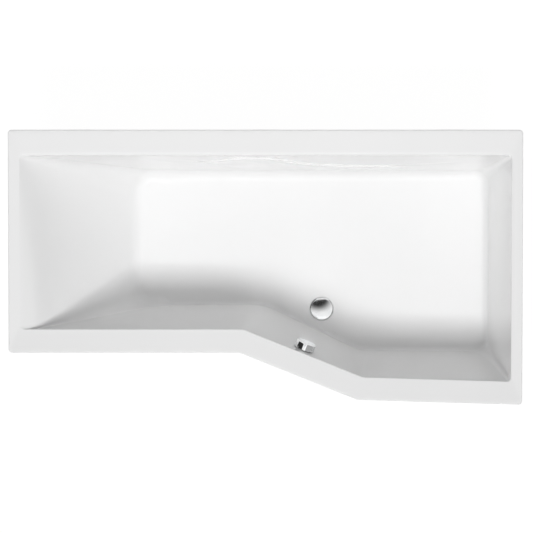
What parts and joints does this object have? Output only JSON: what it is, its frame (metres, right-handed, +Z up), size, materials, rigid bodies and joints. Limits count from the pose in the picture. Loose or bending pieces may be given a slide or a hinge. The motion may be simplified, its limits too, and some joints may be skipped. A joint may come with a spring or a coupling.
{
  "type": "bathtub",
  "caption": "Asymmetric built-in shower bath with flat rim, sloping backrest, domed plug worked by a turning overflow cap, trap and levelling cradle.",
  "frame": {"origin": "on the room's floor, under the middle of the rim's outline", "axes": "+X from the head end to the wide foot end, +Y to the wall side, +Z up"},
  "size_m": [1.6, 0.8556, 0.6],
  "materials": {
    "acrylic": "glossy white sanitary acrylic",
    "glassfibre": "rough resin with chopped strands",
    "board": "raw chipboard",
    "batten": "raw sawn softwood",
    "zinc": "zinc plated",
    "foot_plastic": "black moulded",
    "chrome": "polished chrome plate",
    "rubber": "black moulded rubber",
    "waste_plastic": "white moulded polypropylene",
    "hose": "grey ribbed",
    "brass": "machined",
    "cable_sheath": "black sheath"
  },
  "bodies": {
    "tub": {"acrylic_shell": "acrylic", "glassfibre_backing": "glassfibre", "base_board": "board", "rim_batten_narrow": "batten", "rim_batten_slant": "batten", "rim_batten_wide": "batten", "rim_batten_back": "batten", "leg_bar_head": "zinc", "leg_bar_foot": "zinc", "foot_nuts": "zinc", "bar_screws": "zinc", "wall_bracket_1": "zinc", "wall_bracket_2": "zinc", "wall_bracket_3": "zinc", "bracket_screws": "zinc", "drain_flange": "chrome", "drain_gasket_upper": "rubber", "drain_gasket_lower": "rubber", "drain_body": "waste_plastic", "lever_pin": "zinc", "trap_union_nut": "waste_plastic", "trap_seal": "rubber", "trap_body": "waste_plastic", "trap_cleanout_cap": "waste_plastic", "cleanout_seal": "rubber", "outlet_union_nut": "waste_plastic", "outlet_seal": "rubber", "outlet_pipe": "waste_plastic", "overflow_body": "waste_plastic", "overflow_gasket": "rubber", "overflow_flange": "waste_plastic", "overflow_hose": "hose", "hose_nut_top": "waste_plastic", "hose_nut_bottom": "waste_plastic", "pull_cable": "cable_sheath"},
    "plug": {"drain_plug": "chrome", "plug_seal": "rubber", "plug_stem": "zinc"},
    "lever": {"lift_lever": "waste_plastic"},
    "turning_cap": {"overflow_knob": "chrome", "knob_spindle": "brass", "cable_drum": "waste_plastic", "knob_screw": "zinc"},
    "foot_head_front": {"foot_rod_head_front": "zinc", "foot_pad_head_front": "foot_plastic"},
    "foot_head_back": {"foot_rod_head_back": "zinc", "foot_pad_head_back": "foot_plastic"},
    "foot_foot_front": {"foot_rod_foot_front": "zinc", "foot_pad_foot_front": "foot_plastic"},
    "foot_foot_back": {"foot_rod_foot_back": "zinc", "foot_pad_foot_back": "foot_plastic"}
  },
  "joints": [
    {"name": "cap_turn", "type": "hinge", "parent": "tub", "child": "turning_cap", "pos_m": [0.11984, -0.2585, 0.53], "axis": [0.3694, 0.9196, 0.1337], "range_deg": [0, 120]},
    {"name": "plug_lift", "type": "slide", "parent": "tub", "child": "plug", "axis": [0, 0, 1], "range_m": [0, 0.012]},
    {"name": "lever_swing", "type": "hinge", "parent": "tub", "child": "lever", "pos_m": [0.19429, -0.16137, 0.118], "axis": [0.4813, 0.8766, 0], "range_deg": [0, 50.75]},
    {"name": "level_head_front", "type": "slide", "parent": "tub", "child": "foot_head_front", "axis": [0, 0, 1], "range_m": [-0.03, 0.008]},
    {"name": "level_head_back", "type": "slide", "parent": "tub", "child": "foot_head_back", "axis": [0, 0, 1], "range_m": [-0.03, 0.008]},
    {"name": "level_foot_front", "type": "slide", "parent": "tub", "child": "foot_foot_front", "axis": [0, 0, 1], "range_m": [-0.03, 0.008]},
    {"name": "level_foot_back", "type": "slide", "parent": "tub", "child": "foot_foot_back", "axis": [0, 0, 1], "range_m": [-0.03, 0.008]}
  ],
  "couplings": [
    {"joint": "plug_lift", "follows": "cap_turn", "m_per_rad": 0.0057296},
    {"joint": "lever_swing", "follows": "cap_turn", "ratio": 0.42295}
  ]
}
